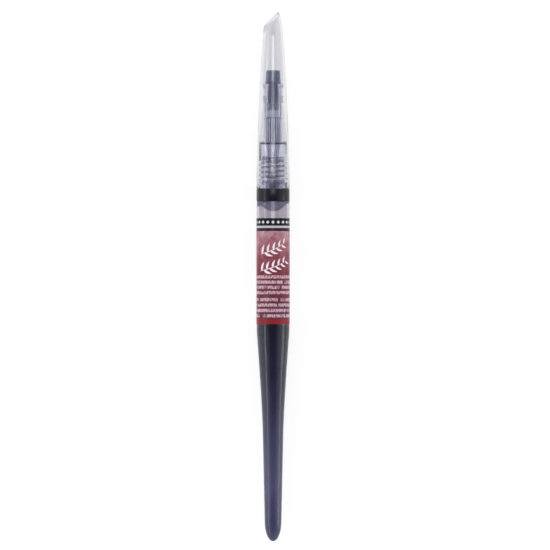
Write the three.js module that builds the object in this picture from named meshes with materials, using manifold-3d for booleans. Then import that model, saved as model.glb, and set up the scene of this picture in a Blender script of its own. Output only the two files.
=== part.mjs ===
// A refillable brush pen, lying on a table with its cap on.
//
// The barrel is a long tapered handle that holds the ink and is squeezed. Its threaded neck carries
// the brush head: a clear skirt, a gasket, a clear nozzle with a fluted feed inside, a wick and a tuft
// of bristles in a ferrule. A loose black spacer ring on the neck keeps the head a few millimetres
// short of home, so that the point of the feed can't push in the stopper before the first use. The
// clear cap seats on the skirt, and a small inner cap pressed into it seals the tuft.
//
// Every piece is turned about the pen's axis. Its outline is given as stations along the pen and
// radii, both in millimetres: station 0 is the end of the tail, and stations grow towards the cap's
// tip. The finished pen lies along +X with the tail at -X, its label facing up and its lowest flat
// at Z = 0. The origin is on the table, under the middle of the pen.

import * as THREE from "three";
import { mergeVertices } from "three/addons/utils/BufferGeometryUtils.js";
import Module from "manifold-3d";

const wasm = await Module();
wasm.setup();

// ---------------------------------------------------------------- driving dimensions

const FACETS = 32; // flats round every turned piece
const RUN_GAP = 0.1; // between surfaces that move past each other
const FIT_GAP = 0.05; // between surfaces that stay together
const SEAT_GAP = 0.05; // between faces that rest on each other

// Barrel: the ink reservoir and handle
const BARREL_RADIUS = 5.95;
const BARREL_WALL = 0.8;
const HANDLE_LENGTH = 75.5; // the tapered handle, from the tail to the start of the cylinder
const GRIP_LENGTH = 46.5; // the cylinder, from the end of the taper to the shoulder
const WAIST_STATION = 35; // where the slim tail meets the swelling handle
const WAIST_RADIUS = 3.66;
const TAIL_RADIUS = 3.05;
const TAIL_ROUND = 7; // length of the rounded end
const TAIL_FLOOR = 1.6; // thickness of the closed end
const HANDLE_FLARE = { first: 14, rise: 0.24, last: 9.5, drop: 0.65 }; // pull of the handle's S-curve

// Neck: the threaded mouth of the barrel
const NECK_LENGTH = 15.8;
const NECK_WALL = 1.05;
const NECK_CHAMFER = 0.3;
const THREAD_PITCH = 1.75;
const THREAD_HEIGHT = 0.45;
const THREAD_GAP = 0.15; // from the neck's crests to the skirt's bore
const THREAD_ROOT = 0.95; // width of the neck's ridge at its foot
const THREAD_CREST = 0.35;
const THREAD_RUN_OUT = 0.4; // turns over which a ridge fades out at each end
const THREAD_EMBED = 0.12; // how deep a ridge's foot is buried in its wall
const THREAD_STEPS = 24; // straight pieces in each turn of a ridge
const NECK_THREAD_RISE = 5.4; // from the shoulder to the start of the neck's ridge
const NECK_THREAD_DROP = 1.1; // from the end of the neck's ridge to the top of the neck
const SKIRT_THREAD_RISE = 1.0; // least height of the skirt's ridge above the skirt's mouth
const SKIRT_THREAD_DROP = 0.8; // from the end of the skirt's ridge to the top of the neck
const SKIRT_RIDGE_FOOT = 0.75;
const SKIRT_RIDGE_CREST = 0.3;

// Spacer ring and stopper
const SPACER_HEIGHT = 4.4;
const SPACER_CHAMFER = 0.15;
const RIM_PROUD = 0.05; // how far the spacer and the cap's rim stand proud of the barrel
const STOPPER_RISE = 0.9; // from the shoulder to the stopper's underside
const STOPPER_HEIGHT = 3.1;
const STOPPER_WALL = 0.6;

// Label
const LABEL_RISE = 2.5; // from the start of the cylinder to the label
const LABEL_DROP = 6.1; // from the label to the shoulder
const LABEL_GAP = 0.03;
const LABEL_THICKNESS = 0.08;

// Ink
const INK_DROP = 6.8; // from the ink's surface to the shoulder

// Brush head
const SKIRT_WALL = 0.8;
const GASKET_THICKNESS = 0.6;
const FLANGE_THICKNESS = 0.5;
const NOZZLE_LENGTH = 14.1; // from the flange's underside to the mouth
const NOZZLE_WIDE_LENGTH = 9.0; // the part of it below the step
const NOZZLE_WALL = 0.55;
const TIP_STEP = 0.7; // how much slimmer the nozzle is above its step
const TIP_WALL = 0.35;
const STEP_RISE = 0.25; // length of the step's cone
const STEP_FLOOR = 0.45; // thickness of the shelf that the feed meets, inside the step

// Feed
const FEED_FLUTES = 10;
const FLUTE_WIDTH = 0.55;
const FLUTE_DEPTH = 0.8;
const FEED_COLLAR = 0.9; // the plain band below the flutes
const FEED_CONE = 3.9; // the cone between that band and the stem
const FEED_CLEARANCE = 0.2; // from the feed to the neck's bore
const STEM_CLEARANCE = 0.9; // from its stem, which leaves the ink more room
const STEM_POINT = 2.4; // length of the stem's point
const STEM_POINT_RADIUS = 0.75;
const STEM_CHANNEL_RADIUS = 0.5;
const POINT_STANDOFF = 0.7; // from the point to the stopper

// Wick, ferrule and tuft
const WICK_LENGTH = 2.5;
const FERRULE_LENGTH = 2.3;
const FERRULE_WALL = 0.3;
const TUFT_LENGTH = 10.7; // from the nozzle's mouth to the tuft's point
const TUFT_SWELL = 0.1; // how far the belly stands out past the root
const TUFT_POINT_RADIUS = 0.12;
const TUFT_ROOM = 0.15; // around the tuft, inside the inner cap

// Inner cap and tip seal
const INNER_CAP_WALL = 0.35;
const BEAD_RISE = 0.4; // from the nozzle's mouth to the first retaining bead
const BEAD_COUNT = 3;
const BEAD_WIDTH = 0.45;
const BEAD_PITCH = 0.9;
const FLANGE_RISE = 5.7; // from the nozzle's mouth to the inner cap's flange
const INNER_FLANGE = 1.25;
const SPIGOT_LENGTH = 1.8; // of the inner cap, into the tip seal
const SPIGOT_WALL = 0.2;
const TIP_SEAL_WALL = 0.4;
const TIP_SEAL_LIP = { height: 0.7, proud: 0.12 };
const TIP_SEAL_DRAFT = 0.2; // how much slimmer the seal is at its closed end
const TIP_SEAL_END = 1.1; // thickness of its closed end
const TIP_SEAL_ROUND = 0.4;

// Cap
const CAP_LENGTH = 63.4;
const CAP_WALL = 0.55; // at the rim
const CAP_SEAT_TAPER = 0.3; // how much the cap closes in along the skirt, inside
const CAP_SOCKET_WALL = 1.0; // around the inner cap
const CAP_TIP_WALL = 0.9; // beyond the inner cap
const CAP_END_WALL = 1.2; // the slanted end
const CAP_CURVE = { reach: 27.2, drop: 0.39 }; // pull of the cap's long curve, from its rim
const CAP_NOSE_LENGTH = 9; // the rounded end, beyond that curve
const CAP_NOSE_RADIUS = 3.72; // where the rounded end starts
const CAP_NOSE_PULL = { radius: 3.0, drop: 1.05 }; // its curve's corner, measured from the tip
const CAP_TIP_RADIUS = 1.9;
const SLANT_ANGLE = Math.PI / 4;
const SLANT_DROP = 1.7; // from the cap's tip down to where the slant crosses the axis

const CURVE_STEPS = 8; // straight pieces in each long curve
const ROUND_STEPS = 5; // and in each rounded end

// ---------------------------------------------------------------- radii that follow from them

const SPACER_RADIUS = BARREL_RADIUS + RIM_PROUD;
const CAP_RIM_RADIUS = BARREL_RADIUS + RIM_PROUD;
const CAP_SEAT_RADIUS = CAP_RIM_RADIUS - CAP_WALL;
const CAP_SHOULDER_RADIUS = CAP_SEAT_RADIUS - CAP_SEAT_TAPER;
const SKIRT_RADIUS = CAP_SEAT_RADIUS - RUN_GAP;
const SKIRT_TOP_RADIUS = CAP_SHOULDER_RADIUS - RUN_GAP;
const SKIRT_BORE = SKIRT_RADIUS - SKIRT_WALL;
const NECK_MAJOR_RADIUS = SKIRT_BORE - THREAD_GAP;
const NECK_CORE_RADIUS = NECK_MAJOR_RADIUS - THREAD_HEIGHT;
const NECK_BORE = NECK_CORE_RADIUS - NECK_WALL;
const SKIRT_RIDGE_HEIGHT = SKIRT_BORE - NECK_CORE_RADIUS - RUN_GAP;
const FEED_RADIUS = NECK_BORE - FEED_CLEARANCE;
const NOZZLE_BORE = FEED_RADIUS + FIT_GAP;
const NOZZLE_RADIUS = NOZZLE_BORE + NOZZLE_WALL;
const TIP_RADIUS = NOZZLE_RADIUS - TIP_STEP;
const TIP_BORE = TIP_RADIUS - TIP_WALL;
const STEM_RADIUS = NECK_BORE - STEM_CLEARANCE;
const FERRULE_RADIUS = TIP_BORE - FIT_GAP;
const TUFT_ROOT_RADIUS = FERRULE_RADIUS - FERRULE_WALL - FIT_GAP;
const TUFT_BELLY_RADIUS = TUFT_ROOT_RADIUS + TUFT_SWELL;
const INNER_SKIRT_BORE = TIP_RADIUS + RUN_GAP;
const INNER_CAP_RADIUS = INNER_SKIRT_BORE + INNER_CAP_WALL;
const INNER_CAP_BORE = TUFT_BELLY_RADIUS + TUFT_ROOM;
const SPIGOT_RADIUS = INNER_CAP_BORE + SPIGOT_WALL;
const TIP_SEAL_RADIUS = SPIGOT_RADIUS + FIT_GAP + TIP_SEAL_WALL;
const LABEL_RADIUS = BARREL_RADIUS + LABEL_GAP + LABEL_THICKNESS;

// ---------------------------------------------------------------- stations that follow from them

const SHOULDER = HANDLE_LENGTH + GRIP_LENGTH;
const NECK_TOP = SHOULDER + NECK_LENGTH;
const LABEL_BASE = HANDLE_LENGTH + LABEL_RISE;
const LABEL_TOP = SHOULDER - LABEL_DROP;
const INK_LEVEL = SHOULDER - INK_DROP;
const NECK_THREAD_BASE = SHOULDER + NECK_THREAD_RISE;
const NECK_THREAD_TOP = NECK_TOP - NECK_THREAD_DROP;
const SPACER_BASE = SHOULDER + SEAT_GAP;
const SPACER_TOP = SPACER_BASE + SPACER_HEIGHT;
const HEAD_BASE = SPACER_TOP + SEAT_GAP;
// With the spacer out, the gasket comes down on the neck just as the skirt reaches the shoulder.
const GASKET_BASE = NECK_TOP + SPACER_HEIGHT + SEAT_GAP;
const GASKET_TOP = GASKET_BASE + GASKET_THICKNESS;
const FLANGE_BASE = GASKET_TOP + SEAT_GAP;
const FLANGE_TOP = FLANGE_BASE + FLANGE_THICKNESS;
const NOZZLE_STEP = FLANGE_BASE + NOZZLE_WIDE_LENGTH;
const MOUTH = FLANGE_BASE + NOZZLE_LENGTH;
const STEP_SHELF = NOZZLE_STEP + STEP_RISE - STEP_FLOOR;
const FEED_TOP = STEP_SHELF - SEAT_GAP;
const STOPPER_BASE = SHOULDER + STOPPER_RISE;
const STOPPER_TOP = STOPPER_BASE + STOPPER_HEIGHT;
const STEM_TIP = STOPPER_TOP + POINT_STANDOFF;
const FERRULE_TOP = MOUTH - FIT_GAP;
const FERRULE_BASE = FERRULE_TOP - FERRULE_LENGTH;
const WICK_TOP = FERRULE_BASE - SEAT_GAP;
const TUFT_TIP = MOUTH + TUFT_LENGTH;
const INNER_SKIRT_BASE = NOZZLE_STEP + STEP_RISE + RUN_GAP;
const BEAD_BASE = MOUTH + BEAD_RISE;
const INNER_FLANGE_BASE = MOUTH + FLANGE_RISE;
const INNER_FLANGE_TOP = INNER_FLANGE_BASE + INNER_FLANGE;
const TIP_SEAL_BASE = INNER_FLANGE_TOP + SEAT_GAP;
const TIP_SEAL_TOP = TUFT_TIP + TUFT_ROOM + TIP_SEAL_END;
const CAP_BASE = HEAD_BASE + SEAT_GAP;
const CAP_TIP = CAP_BASE + CAP_LENGTH;
const CAP_NOSE_BASE = CAP_TIP - CAP_NOSE_LENGTH;
const SLANT_STATION = CAP_TIP - SLANT_DROP;
const AXIS_HEIGHT = LABEL_RADIUS * Math.cos(Math.PI / FACETS); // the label's lowest flat is at Z = 0

// ---------------------------------------------------------------- helpers

// One point of an outline. Lathe geometry turns about Y, so the station is its Y.
const at = (station, radius) => new THREE.Vector2(radius, station);

// Points of a solid of revolution that starts and ends on the axis, tail end first.
const turned = (outline) =>
  new THREE.LatheGeometry(outline, FACETS, Math.PI / FACETS, 2 * Math.PI);

// A ring: its outline runs up the outside and down the inside, and closes on itself.
const ring = (outline) => turned([...outline, outline[0].clone()]);

// A plain sleeve or washer.
const sleeve = (low, high, inside, outside) =>
  ring([at(low, outside), at(high, outside), at(high, inside), at(low, inside)]);

// The radius of an outline of rising stations at one of them.
function radiusAt(outline, station) {
  const next = outline.findIndex((p) => p.y >= station);
  const [a, b] = [outline[next - 1], outline[next]];
  return THREE.MathUtils.mapLinear(station, a.y, b.y, a.x, b.x);
}

function solidOf(geometry) {
  const bare = geometry.index ? geometry.toNonIndexed() : geometry.clone();
  bare.deleteAttribute("normal");
  bare.deleteAttribute("uv");
  const merged = mergeVertices(bare, 1e-4);
  return new wasm.Manifold(
    new wasm.Mesh({
      numProp: 3,
      vertProperties: merged.attributes.position.array,
      triVerts: new Uint32Array(merged.index.array),
    }),
  );
}

function geometryOf(solid) {
  const mesh = solid.getMesh();
  const places = new Float32Array(mesh.numVert * 3);
  for (let i = 0; i < mesh.numVert; i++) {
    const first = i * mesh.numProp;
    places.set(mesh.vertProperties.subarray(first, first + 3), i * 3);
  }
  const geometry = new THREE.BufferGeometry();
  geometry.setAttribute("position", new THREE.BufferAttribute(places, 3));
  geometry.setIndex(new THREE.BufferAttribute(mesh.triVerts, 1));
  geometry.computeVertexNormals();
  return geometry;
}

// A right-handed helix about the pen's axis, with the frames that keep a swept section upright.
// sink moves its first and last turns that far along the radius, so that a ridge fades into its wall.
class ThreadHelix extends THREE.Curve {
  constructor(radius, base, turns, sink) {
    super();
    Object.assign(this, { radius, base, turns, sink });
  }

  angleAt(t) {
    return t * this.turns * 2 * Math.PI;
  }

  getPoint(t) {
    const fromEnd = Math.min(t, 1 - t) * this.turns;
    const fade = Math.max(0, 1 - fromEnd / THREAD_RUN_OUT);
    const r = this.radius + this.sink * fade;
    const angle = this.angleAt(t);
    return new THREE.Vector3(
      r * Math.sin(angle),
      this.base + t * this.turns * THREAD_PITCH,
      r * Math.cos(angle),
    );
  }

  getPointAt(t) {
    return this.getPoint(t);
  }

  computeFrenetFrames(segments) {
    const frames = { tangents: [], normals: [], binormals: [] };
    for (let i = 0; i <= segments; i++) {
      const angle = this.angleAt(i / segments);
      frames.tangents.push(new THREE.Vector3(Math.cos(angle), 0, -Math.sin(angle)));
      frames.normals.push(new THREE.Vector3(Math.sin(angle), 0, Math.cos(angle)));
      frames.binormals.push(new THREE.Vector3(0, -1, 0));
    }
    return frames;
  }
}

// A helical ridge of trapezoid section. height is negative on a ridge that points at the axis.
function threadRidge({ radius, base, turns, height, foot, crest }) {
  const embed = -Math.sign(height) * THREAD_EMBED;
  const section = new THREE.Shape([
    new THREE.Vector2(embed, -foot / 2),
    new THREE.Vector2(height, -crest / 2),
    new THREE.Vector2(height, crest / 2),
    new THREE.Vector2(embed, foot / 2),
  ]);
  return new THREE.ExtrudeGeometry(section, {
    steps: Math.round(turns * THREAD_STEPS),
    extrudePath: new ThreadHelix(radius, base, turns, -height),
  });
}

// ---------------------------------------------------------------- barrel, label, ink, stopper

// The handle from the closed end to the cylinder, drawn in by inset, with its end at floor.
function handleOutline(inset, floor) {
  const end = new THREE.EllipseCurve(
    0, TAIL_ROUND, TAIL_RADIUS - inset, TAIL_ROUND - floor, -Math.PI / 2, 0,
  );
  const flare = new THREE.CubicBezierCurve(
    at(WAIST_STATION, WAIST_RADIUS - inset),
    at(WAIST_STATION + HANDLE_FLARE.first, WAIST_RADIUS + HANDLE_FLARE.rise - inset),
    at(HANDLE_LENGTH - HANDLE_FLARE.last, BARREL_RADIUS - HANDLE_FLARE.drop - inset),
    at(HANDLE_LENGTH, BARREL_RADIUS - inset),
  );
  const outline = [...end.getPoints(ROUND_STEPS), ...flare.getPoints(CURVE_STEPS)];
  outline[0].x = 0;
  return outline;
}

function barrel() {
  const roof = SHOULDER - BARREL_WALL;
  const body = turned([
    ...handleOutline(0, 0),
    at(SHOULDER, BARREL_RADIUS),
    at(SHOULDER, NECK_CORE_RADIUS),
    at(NECK_TOP - NECK_CHAMFER, NECK_CORE_RADIUS),
    at(NECK_TOP, NECK_CORE_RADIUS - NECK_CHAMFER),
    at(NECK_TOP, NECK_BORE),
    at(roof, NECK_BORE),
    at(roof, BARREL_RADIUS - BARREL_WALL),
    ...handleOutline(BARREL_WALL, TAIL_FLOOR).reverse(),
  ]);
  const thread = threadRidge({
    radius: NECK_CORE_RADIUS,
    base: NECK_THREAD_BASE,
    turns: (NECK_THREAD_TOP - NECK_THREAD_BASE) / THREAD_PITCH,
    height: THREAD_HEIGHT,
    foot: THREAD_ROOT,
    crest: THREAD_CREST,
  });
  return geometryOf(solidOf(body).add(solidOf(thread)));
}

const label = () =>
  sleeve(LABEL_BASE, LABEL_TOP, BARREL_RADIUS + LABEL_GAP, LABEL_RADIUS);

function inkCharge() {
  const inset = BARREL_WALL + FIT_GAP;
  return turned([
    ...handleOutline(inset, TAIL_FLOOR + FIT_GAP),
    at(INK_LEVEL, BARREL_RADIUS - inset),
    at(INK_LEVEL, 0),
  ]);
}

// A plug with a closed top and a hollow underside, pressed into the foot of the neck.
function stopper() {
  const radius = NECK_BORE - FIT_GAP;
  return turned([
    at(STOPPER_TOP - STOPPER_WALL, 0),
    at(STOPPER_TOP - STOPPER_WALL, radius - STOPPER_WALL),
    at(STOPPER_BASE, radius - STOPPER_WALL),
    at(STOPPER_BASE, radius),
    at(STOPPER_TOP, radius),
    at(STOPPER_TOP, 0),
  ]);
}

function spacerRing() {
  return ring([
    at(SPACER_BASE, SPACER_RADIUS - SPACER_CHAMFER),
    at(SPACER_BASE + SPACER_CHAMFER, SPACER_RADIUS),
    at(SPACER_TOP - SPACER_CHAMFER, SPACER_RADIUS),
    at(SPACER_TOP, SPACER_RADIUS - SPACER_CHAMFER),
    at(SPACER_TOP, SKIRT_BORE),
    at(SPACER_BASE, SKIRT_BORE),
  ]);
}

// ---------------------------------------------------------------- brush head

// The bore is cut with the thread's ridge taken out of it, so that the ridge stays on the wall.
function skirt() {
  const top = FLANGE_BASE - SEAT_GAP;
  const body = turned([
    at(HEAD_BASE, 0),
    at(HEAD_BASE, SKIRT_RADIUS),
    at(top, SKIRT_TOP_RADIUS),
    at(top, 0),
  ]);
  const bore = turned([
    at(HEAD_BASE - 1, 0),
    at(HEAD_BASE - 1, SKIRT_BORE),
    at(top + 1, SKIRT_BORE),
    at(top + 1, 0),
  ]);
  // The ridge keeps a whole number of turns and a half from the neck's, so that the two are in mesh.
  const lowest = (HEAD_BASE + SKIRT_THREAD_RISE - NECK_THREAD_BASE) / THREAD_PITCH;
  const ridgeBase = NECK_THREAD_BASE + (Math.ceil(lowest - 0.5) + 0.5) * THREAD_PITCH;
  const ridgeTop = NECK_TOP - SKIRT_THREAD_DROP;
  const thread = threadRidge({
    radius: SKIRT_BORE,
    base: ridgeBase,
    turns: (ridgeTop - ridgeBase) / THREAD_PITCH,
    height: -SKIRT_RIDGE_HEIGHT,
    foot: SKIRT_RIDGE_FOOT,
    crest: SKIRT_RIDGE_CREST,
  });
  return geometryOf(solidOf(body).subtract(solidOf(bore).subtract(solidOf(thread))));
}

const gasket = () =>
  sleeve(GASKET_BASE, GASKET_TOP, FEED_RADIUS + RUN_GAP, SKIRT_BORE - RUN_GAP);

function nozzle() {
  return ring([
    at(FLANGE_BASE, SKIRT_TOP_RADIUS),
    at(FLANGE_TOP, SKIRT_TOP_RADIUS),
    at(FLANGE_TOP, NOZZLE_RADIUS),
    at(NOZZLE_STEP, NOZZLE_RADIUS),
    at(NOZZLE_STEP + STEP_RISE, TIP_RADIUS),
    at(MOUTH, TIP_RADIUS),
    at(MOUTH, TIP_BORE),
    at(STEP_SHELF + STEP_FLOOR, TIP_BORE),
    at(STEP_SHELF, NOZZLE_BORE),
    at(FLANGE_BASE, NOZZLE_BORE),
  ]);
}

// The feed stands in the nozzle with its stem down the neck, and carries ink in its flutes.
function feedCore() {
  const collarBase = GASKET_BASE;
  const stemTop = collarBase - FEED_CONE;
  const core = ring([
    at(STEM_TIP, STEM_POINT_RADIUS),
    at(STEM_TIP + STEM_POINT, STEM_RADIUS),
    at(stemTop, STEM_RADIUS),
    at(collarBase, FEED_RADIUS),
    at(FEED_TOP, FEED_RADIUS),
    at(FEED_TOP, STEM_CHANNEL_RADIUS),
    at(STEM_TIP, STEM_CHANNEL_RADIUS),
  ]);
  const fluteBase = collarBase + FEED_COLLAR;
  const fluteLength = FEED_TOP - fluteBase + 1;
  let solid = solidOf(core);
  for (let i = 0; i < FEED_FLUTES; i++) {
    const flute = new THREE.BoxGeometry(FLUTE_WIDTH, fluteLength, 2 * FLUTE_DEPTH)
      .translate(0, fluteBase + fluteLength / 2, FEED_RADIUS)
      .rotateY((i * 2 * Math.PI) / FEED_FLUTES);
    solid = solid.subtract(solidOf(flute));
  }
  return geometryOf(solid);
}

const wick = () =>
  turned([
    at(WICK_TOP - WICK_LENGTH, 0),
    at(WICK_TOP - WICK_LENGTH, FERRULE_RADIUS),
    at(WICK_TOP, FERRULE_RADIUS),
    at(WICK_TOP, 0),
  ]);

const ferrule = () =>
  sleeve(FERRULE_BASE, FERRULE_TOP, FERRULE_RADIUS - FERRULE_WALL, FERRULE_RADIUS);

function bristleTuft() {
  const belly = new THREE.CubicBezierCurve(
    at(MOUTH, TUFT_ROOT_RADIUS),
    at(MOUTH + TUFT_LENGTH / 3, TUFT_BELLY_RADIUS + TUFT_SWELL),
    at(MOUTH + (2 * TUFT_LENGTH) / 3, TUFT_BELLY_RADIUS - TUFT_SWELL),
    at(TUFT_TIP, TUFT_POINT_RADIUS),
  );
  return turned([
    at(FERRULE_BASE, 0),
    at(FERRULE_BASE, TUFT_ROOT_RADIUS),
    ...belly.getPoints(CURVE_STEPS),
    at(TUFT_TIP, 0),
  ]);
}

// ---------------------------------------------------------------- cap

// The cap's outer curves: the long one from its rim, and the rounded end.
const capSide = new THREE.QuadraticBezierCurve(
  at(CAP_BASE, CAP_RIM_RADIUS),
  at(CAP_BASE + CAP_CURVE.reach, CAP_RIM_RADIUS - CAP_CURVE.drop),
  at(CAP_NOSE_BASE, CAP_NOSE_RADIUS),
);
const capNose = new THREE.QuadraticBezierCurve(
  at(CAP_NOSE_BASE, CAP_NOSE_RADIUS),
  at(CAP_TIP - CAP_NOSE_PULL.drop, CAP_NOSE_PULL.radius),
  at(CAP_TIP, CAP_TIP_RADIUS),
);
const capOutline = [
  ...capSide.getPoints(2 * CURVE_STEPS),
  ...capNose.getPoints(ROUND_STEPS).slice(1),
];
const socketRadius = radiusAt(capOutline, INNER_FLANGE_TOP) - CAP_SOCKET_WALL;

// What lies beyond a slanted face that crosses the axis at one station.
function beyondSlant(station) {
  const size = CAP_LENGTH;
  return solidOf(
    new THREE.BoxGeometry(size, size, size)
      .translate(0, size / 2, 0)
      .rotateZ(SLANT_ANGLE)
      .translate(0, station, 0),
  );
}

function capShell() {
  const outside = turned([
    at(CAP_BASE, 0),
    ...capOutline,
    at(CAP_TIP, 0),
  ]);
  const upper = capOutline
    .filter((p) => p.y > INNER_FLANGE_TOP + SEAT_GAP)
    .map((p) => at(p.y, Math.min(p.x - CAP_TIP_WALL, socketRadius)));
  const inside = turned([
    at(CAP_BASE - 1, 0),
    at(CAP_BASE - 1, CAP_SEAT_RADIUS),
    at(CAP_BASE, CAP_SEAT_RADIUS),
    at(FLANGE_TOP + RUN_GAP, CAP_SHOULDER_RADIUS),
    at(BEAD_BASE - RUN_GAP, socketRadius),
    at(INNER_FLANGE_TOP + SEAT_GAP, socketRadius),
    ...upper,
    at(CAP_TIP, 0),
  ]);
  const endWall = CAP_END_WALL / Math.cos(SLANT_ANGLE);
  const shell = solidOf(outside).subtract(beyondSlant(SLANT_STATION));
  const cavity = solidOf(inside).subtract(beyondSlant(SLANT_STATION - endWall));
  return geometryOf(shell.subtract(cavity));
}

function innerCap() {
  const beadRadius = socketRadius - FIT_GAP;
  const beads = [];
  for (let i = 0; i < BEAD_COUNT; i++) {
    const base = BEAD_BASE + i * BEAD_PITCH;
    beads.push(at(base, INNER_CAP_RADIUS), at(base, beadRadius));
    beads.push(at(base + BEAD_WIDTH, beadRadius), at(base + BEAD_WIDTH, INNER_CAP_RADIUS));
  }
  return ring([
    at(INNER_SKIRT_BASE, INNER_CAP_RADIUS),
    ...beads,
    at(INNER_FLANGE_BASE, INNER_CAP_RADIUS),
    at(INNER_FLANGE_BASE, beadRadius),
    at(INNER_FLANGE_TOP, beadRadius),
    at(INNER_FLANGE_TOP, SPIGOT_RADIUS),
    at(INNER_FLANGE_TOP + SPIGOT_LENGTH, SPIGOT_RADIUS),
    at(INNER_FLANGE_TOP + SPIGOT_LENGTH, INNER_CAP_BORE),
    at(MOUTH + RUN_GAP, INNER_CAP_BORE),
    at(MOUTH + RUN_GAP, INNER_SKIRT_BORE),
    at(INNER_SKIRT_BASE, INNER_SKIRT_BORE),
  ]);
}

// A small dark cup over the end of the inner cap, which the tuft's point reaches into.
function tipSeal() {
  const bore = SPIGOT_RADIUS + FIT_GAP;
  const lipRadius = TIP_SEAL_RADIUS + TIP_SEAL_LIP.proud;
  const endRadius = TIP_SEAL_RADIUS - TIP_SEAL_DRAFT;
  const cupTop = TIP_SEAL_TOP - TIP_SEAL_END;
  return turned([
    at(cupTop, 0),
    at(cupTop, bore - TIP_SEAL_DRAFT),
    at(INNER_FLANGE_TOP + SPIGOT_LENGTH + SEAT_GAP, bore),
    at(TIP_SEAL_BASE, bore),
    at(TIP_SEAL_BASE, lipRadius),
    at(TIP_SEAL_BASE + TIP_SEAL_LIP.height / 2, lipRadius),
    at(TIP_SEAL_BASE + TIP_SEAL_LIP.height, TIP_SEAL_RADIUS),
    at(TIP_SEAL_TOP - TIP_SEAL_ROUND, endRadius),
    at(TIP_SEAL_TOP, endRadius - TIP_SEAL_ROUND),
    at(TIP_SEAL_TOP, 0),
  ]);
}

// ---------------------------------------------------------------- assembly

const clear = { color: 0xe9ebf2, roughness: 0.06, metalness: 0, transparent: true, opacity: 0.35 };
const paint = {
  barrel: { color: 0xc9cbd8, roughness: 0.12, metalness: 0, transparent: true, opacity: 0.4 },
  label: { color: 0xa85560, roughness: 0.35, metalness: 0 },
  ink_charge: { color: 0x14131f, roughness: 0.1, metalness: 0 },
  neck_stopper: { color: 0xd8d8dc, roughness: 0.4, metalness: 0 },
  spacer_ring: { color: 0x14131b, roughness: 0.4, metalness: 0 },
  head_skirt: clear,
  neck_gasket: { color: 0x2a2b3c, roughness: 0.6, metalness: 0 },
  nozzle: clear,
  feed_core: { color: 0x6a6f96, roughness: 0.3, metalness: 0 },
  flow_wick: { color: 0xc3c8d8, roughness: 0.9, metalness: 0 },
  tuft_ferrule: { color: 0x3a3d50, roughness: 0.4, metalness: 0 },
  bristle_tuft: { color: 0x1d1e2c, roughness: 0.5, metalness: 0 },
  cap_shell: clear,
  inner_cap: clear,
  tip_seal: { color: 0x23263a, roughness: 0.35, metalness: 0 },
};

const pieces = {
  barrel: barrel(),
  label: label(),
  ink_charge: inkCharge(),
  neck_stopper: stopper(),
  spacer_ring: spacerRing(),
  head_skirt: skirt(),
  neck_gasket: gasket(),
  nozzle: nozzle(),
  feed_core: feedCore(),
  flow_wick: wick(),
  tuft_ferrule: ferrule(),
  bristle_tuft: bristleTuft(),
  cap_shell: capShell(),
  inner_cap: innerCap(),
  tip_seal: tipSeal(),
};

// Turned pieces stand on Y. The pen is laid down so that its axis runs along +X.
const pen = new THREE.Group();
pen.rotation.z = -Math.PI / 2;
pen.position.set(-CAP_TIP / 2, 0, AXIS_HEIGHT);
for (const [name, geometry] of Object.entries(pieces)) {
  const mesh = new THREE.Mesh(geometry, new THREE.MeshStandardMaterial(paint[name]));
  mesh.name = name;
  pen.add(mesh);
}

const brushPen = new THREE.Group();
brushPen.add(pen);

export default brushPen;
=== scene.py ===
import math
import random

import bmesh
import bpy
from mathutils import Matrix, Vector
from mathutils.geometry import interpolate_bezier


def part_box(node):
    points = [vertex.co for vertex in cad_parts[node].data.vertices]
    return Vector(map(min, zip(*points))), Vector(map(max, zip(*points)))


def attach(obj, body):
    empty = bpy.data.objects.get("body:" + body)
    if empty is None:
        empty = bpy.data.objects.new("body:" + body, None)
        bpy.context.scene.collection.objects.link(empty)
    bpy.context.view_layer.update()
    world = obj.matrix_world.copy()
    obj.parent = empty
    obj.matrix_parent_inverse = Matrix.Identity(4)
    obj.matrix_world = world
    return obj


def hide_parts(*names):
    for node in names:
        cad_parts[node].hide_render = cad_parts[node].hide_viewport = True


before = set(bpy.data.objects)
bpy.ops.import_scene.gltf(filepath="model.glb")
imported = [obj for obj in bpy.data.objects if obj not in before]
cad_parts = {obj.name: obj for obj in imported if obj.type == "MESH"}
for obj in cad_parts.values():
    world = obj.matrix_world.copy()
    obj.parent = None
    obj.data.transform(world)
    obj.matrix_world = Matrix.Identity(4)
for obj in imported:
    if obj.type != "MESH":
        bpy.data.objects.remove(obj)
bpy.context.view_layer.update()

# A capped brush pen lying on a pale table: a clear squeezable handle full of ink, a printed label, a
# black spacer ring, and a brush head that shows through a clear cap with a slanted end.
#
# Outlines are (station, radius) pairs in millimetres. A station is a place along X, from the tail at the
# low end to the cap's tip at the high end. Radii are the design's own, at a facet's corner. A third
# number in a pair is the fillet at that corner.

MM = 0.001
FACETS = 32  # of the frame's turned solids
FLAT = math.cos(math.pi / FACETS)  # a round piece this much slimmer fits inside them

ROUND_STEPS = 128  # of a turned piece
FINE_STEPS = 192  # of one with flutes or notches
THREAD_STEPS = 48  # of one turn of a ridge
FILLET_STEPS = 4
FILLET_SHARE = 0.48  # of each neighbouring straight, at most
FILLET_PULL = 0.55
CURVE_STEPS = 24
SHARP_ANGLE = math.radians(34)
MERGE_DISTANCE = 1e-6
FIT_GAP = 0.05
WET = 0.04  # how far ink reaches into the wall that it wets


def span(node):
    """First and last station of a frame node, in millimetres."""
    low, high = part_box(node)
    return low.x / MM, high.x / MM


def reach(node):
    """Outer radius of a frame node, in millimetres."""
    low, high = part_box(node)
    return (high.y - low.y) / 2 / MM / FLAT


AXIS = sum(corner.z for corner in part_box("label")) / 2
TAIL, NECK_TOP = span("barrel")
RING_LOW, RING_HIGH = span("spacer_ring")
LABEL_LOW, LABEL_HIGH = span("label")
INK_HIGH = span("ink_charge")[1]
SHOULDER = RING_LOW - FIT_GAP

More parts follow.
